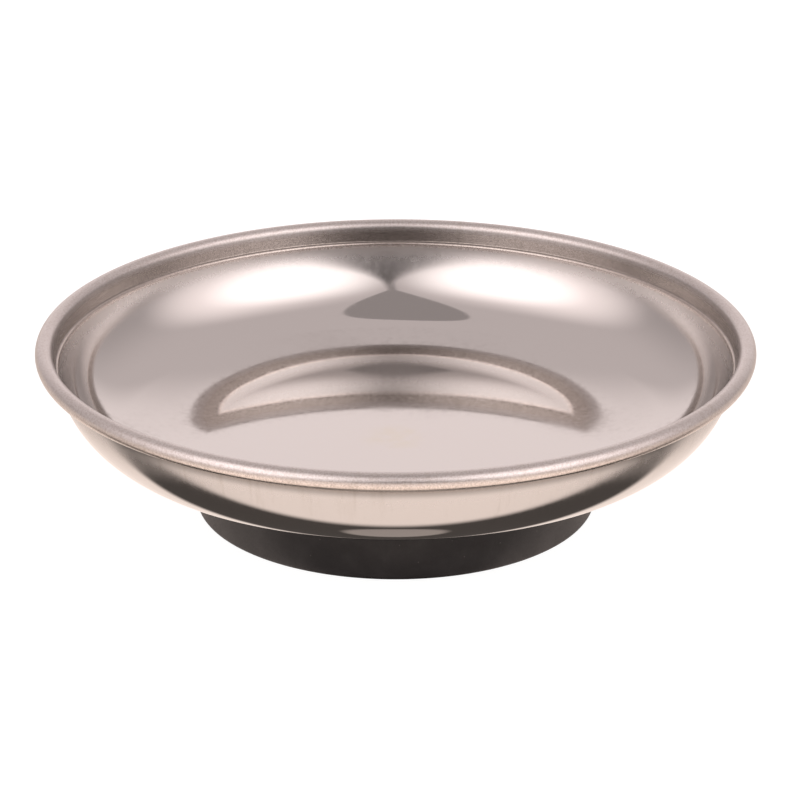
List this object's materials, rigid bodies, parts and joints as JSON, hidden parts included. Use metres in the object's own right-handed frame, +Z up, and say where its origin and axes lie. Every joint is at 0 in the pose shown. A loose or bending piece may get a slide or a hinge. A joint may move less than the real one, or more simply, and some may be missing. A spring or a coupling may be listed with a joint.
{
  "type": "magnetic parts dish",
  "caption": "Round pressed stainless steel dish with a rolled rim on a low black rubber-covered ring-magnet base, for keeping small screws and parts together.",
  "frame": {"origin": "centre of the base's resting face, on the bench", "axes": "+Z up along the dish's axis; the dish is round, so X and Y are any two directions across it"},
  "size_m": [0.15, 0.15, 0.037],
  "materials": {
    "stainless": "polished pressed stainless sheet, satin rolled rim",
    "stud_steel": "copper-washed weld stud, dull",
    "foam": "closed-cell foam, matt",
    "ferrite": "sintered ferrite, matt dark grey",
    "zinc_plate": "bright zinc plate",
    "base_rubber": "moulded black rubber, fine matt grain"
  },
  "bodies": {
    "root": {"dish": "stainless", "weld_stud": "stud_steel", "foam_pad": "foam", "ring_magnet": "ferrite", "clamp_cup": "zinc_plate", "flat_washer": "zinc_plate", "spring_washer": "zinc_plate", "hex_nut": "zinc_plate", "base_cover": "base_rubber"}
  },
  "joints": []
}
